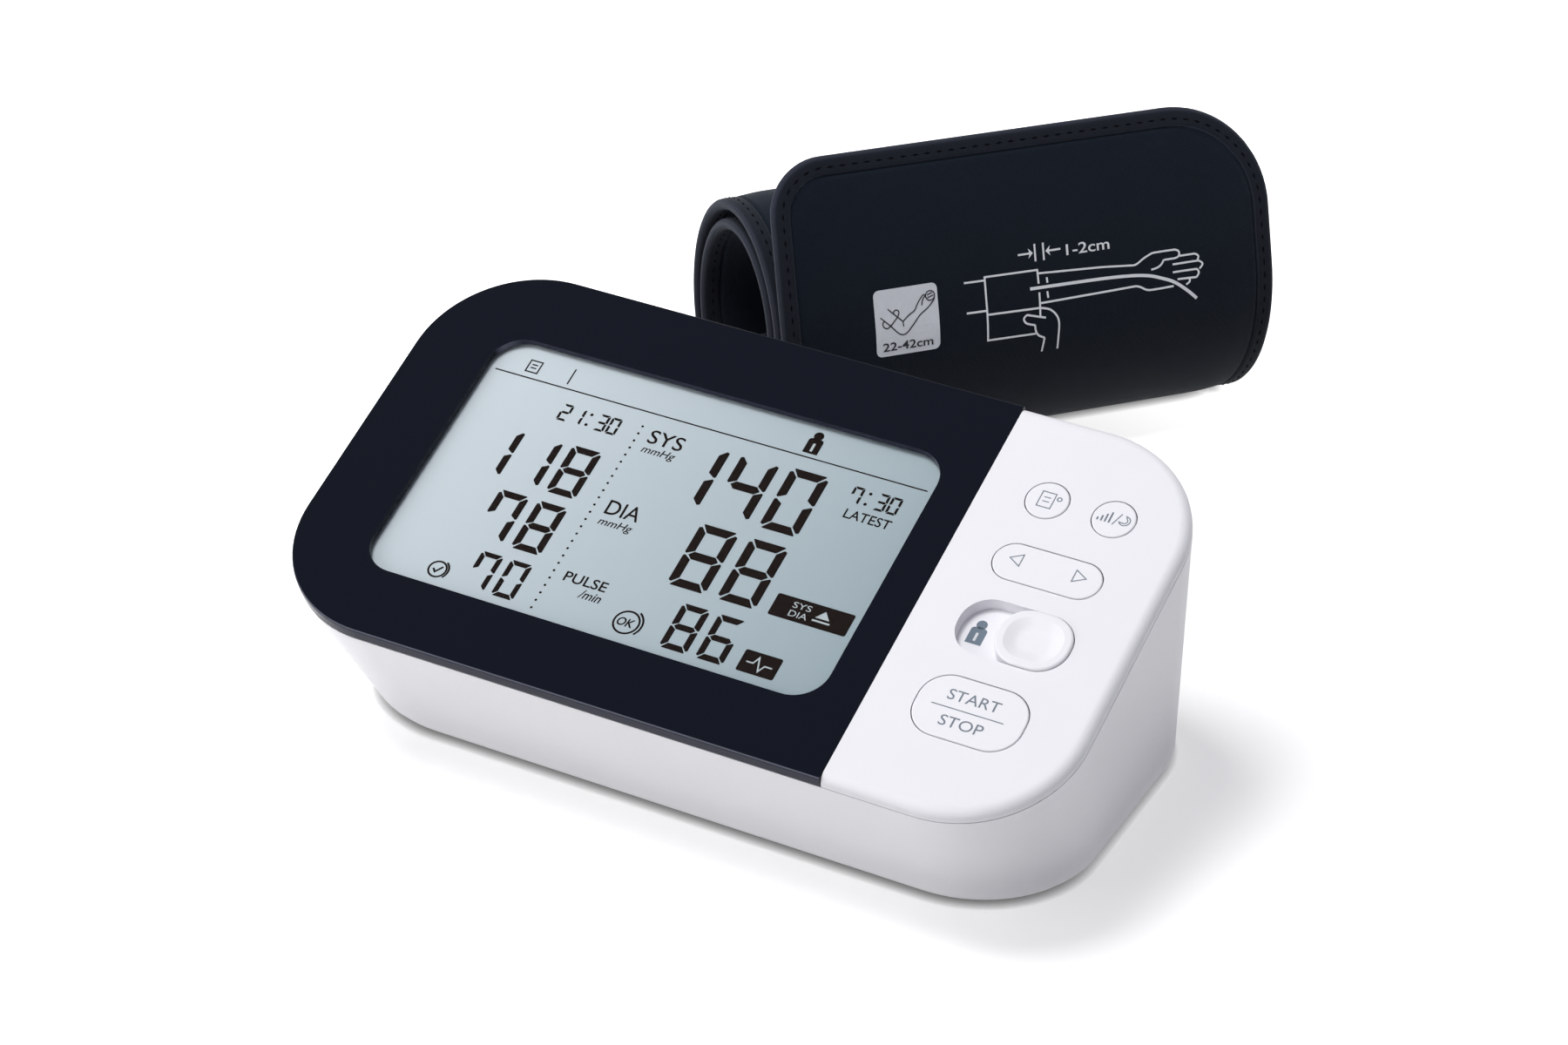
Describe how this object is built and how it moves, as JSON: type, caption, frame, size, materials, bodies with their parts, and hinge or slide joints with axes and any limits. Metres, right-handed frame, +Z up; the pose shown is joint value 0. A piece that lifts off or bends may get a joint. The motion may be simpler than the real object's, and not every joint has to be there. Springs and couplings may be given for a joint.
{
  "type": "blood pressure monitor",
  "caption": "Upper-arm blood pressure monitor: wedge-shaped case with a sloping display panel, buttons and slide switch, and a separate rolled cloth arm cuff.",
  "frame": {"origin": "on the table under the middle of the whole set's box, monitor in front and cuff behind", "axes": "+X to the monitor's right, +Y from the monitor's front towards the cuff, +Z up"},
  "size_m": [0.191, 0.3027, 0.0886],
  "materials": {
    "white_plastic": "fine satin moulded white ABS",
    "button_plastic": "smooth moulded white ABS",
    "black_gloss": "polished blue-black acrylic panel",
    "clear_window": "clear hard-coated acrylic",
    "display_glass": "pale grey reflective display",
    "light_guide": "milky light guide",
    "holder_plastic": "plain grey moulding",
    "circuit_board": "green solder mask",
    "chip_plastic": "black epoxy and nylon",
    "sensor_plastic": "cream moulded sensor case",
    "pump_steel": "zinc-plated steel can",
    "screw_steel": "zinc-plated screws",
    "contact_metal": "nickel-plated spring steel",
    "black_rubber": "soft black rubber",
    "grey_rubber": "grey rubber",
    "silicone": "translucent silicone",
    "jack_plastic": "dark grey moulding",
    "cell_wrap": "printed film on a steel can",
    "cuff_cloth": "black woven nylon with bound edges",
    "bladder_film": "welded air bladder film",
    "curler_plastic": "sprung plastic sheet"
  },
  "bodies": {
    "case": {"lower_case": "white_plastic", "upper_case": "white_plastic", "display_bezel": "black_gloss", "display_lens": "clear_window", "air_jack": "jack_plastic", "dc_jack": "chip_plastic", "battery_cells": "cell_wrap", "rubber_feet": "grey_rubber", "lcd_glass": "display_glass", "light_guide": "light_guide", "lcd_holder": "holder_plastic", "main_board": "circuit_board", "board_chips": "chip_plastic", "key_board": "circuit_board", "tact_switches": "chip_plastic", "slide_switch": "chip_plastic", "pressure_sensor": "sensor_plastic", "pump_motor": "pump_steel", "pump_head": "chip_plastic", "pump_cradle": "black_rubber", "release_valve": "pump_steel", "air_manifold": "holder_plastic", "air_hoses": "silicone", "battery_contacts": "contact_metal", "board_screws": "screw_steel", "case_screws": "screw_steel"},
    "memory_key": {"memory_button": "button_plastic"},
    "average_key": {"average_button": "button_plastic"},
    "start_key": {"start_button": "button_plastic"},
    "rocker": {"rocker_button": "button_plastic"},
    "user_slide": {"slide_knob": "button_plastic", "slide_shutter": "button_plastic"},
    "cover": {"battery_cover": "white_plastic"},
    "cuff": {"cuff_sleeve": "cuff_cloth", "cuff_pocket": "cuff_cloth", "cuff_bladder": "bladder_film", "cuff_curler": "curler_plastic", "cuff_port": "jack_plastic"}
  },
  "joints": [
    {"name": "memory_press", "type": "slide", "parent": "case", "child": "memory_key", "axis": [0, 0.3939, -0.9191], "range_m": [0, 0.0005], "stiffness_N_per_m": 1200},
    {"name": "average_press", "type": "slide", "parent": "case", "child": "average_key", "axis": [0, 0.3939, -0.9191], "range_m": [0, 0.0005], "stiffness_N_per_m": 1200},
    {"name": "start_press", "type": "slide", "parent": "case", "child": "start_key", "axis": [0, 0.3939, -0.9191], "range_m": [0, 0.0005], "stiffness_N_per_m": 1200},
    {"name": "rocker_tilt", "type": "hinge", "parent": "case", "child": "rocker", "pos_m": [0.0697, -0.08873, 0.06076], "axis": [0, 0.9191, 0.3939], "range_deg": [-2.5, 2.5], "stiffness_Nm_per_rad": 0.2},
    {"name": "user_select", "type": "slide", "parent": "case", "child": "user_slide", "axis": [-1, 0, 0], "range_m": [0, 0.0088]},
    {"name": "cover_open", "type": "hinge", "parent": "case", "child": "cover", "pos_m": [0, -0.04022, 0.001], "axis": [1, 0, 0], "range_deg": [0, 75]},
    {"name": "cuff_lift", "type": "slide", "parent": "case", "child": "cuff", "axis": [0, 0, 1], "range_m": [0, 0.15]}
  ]
}
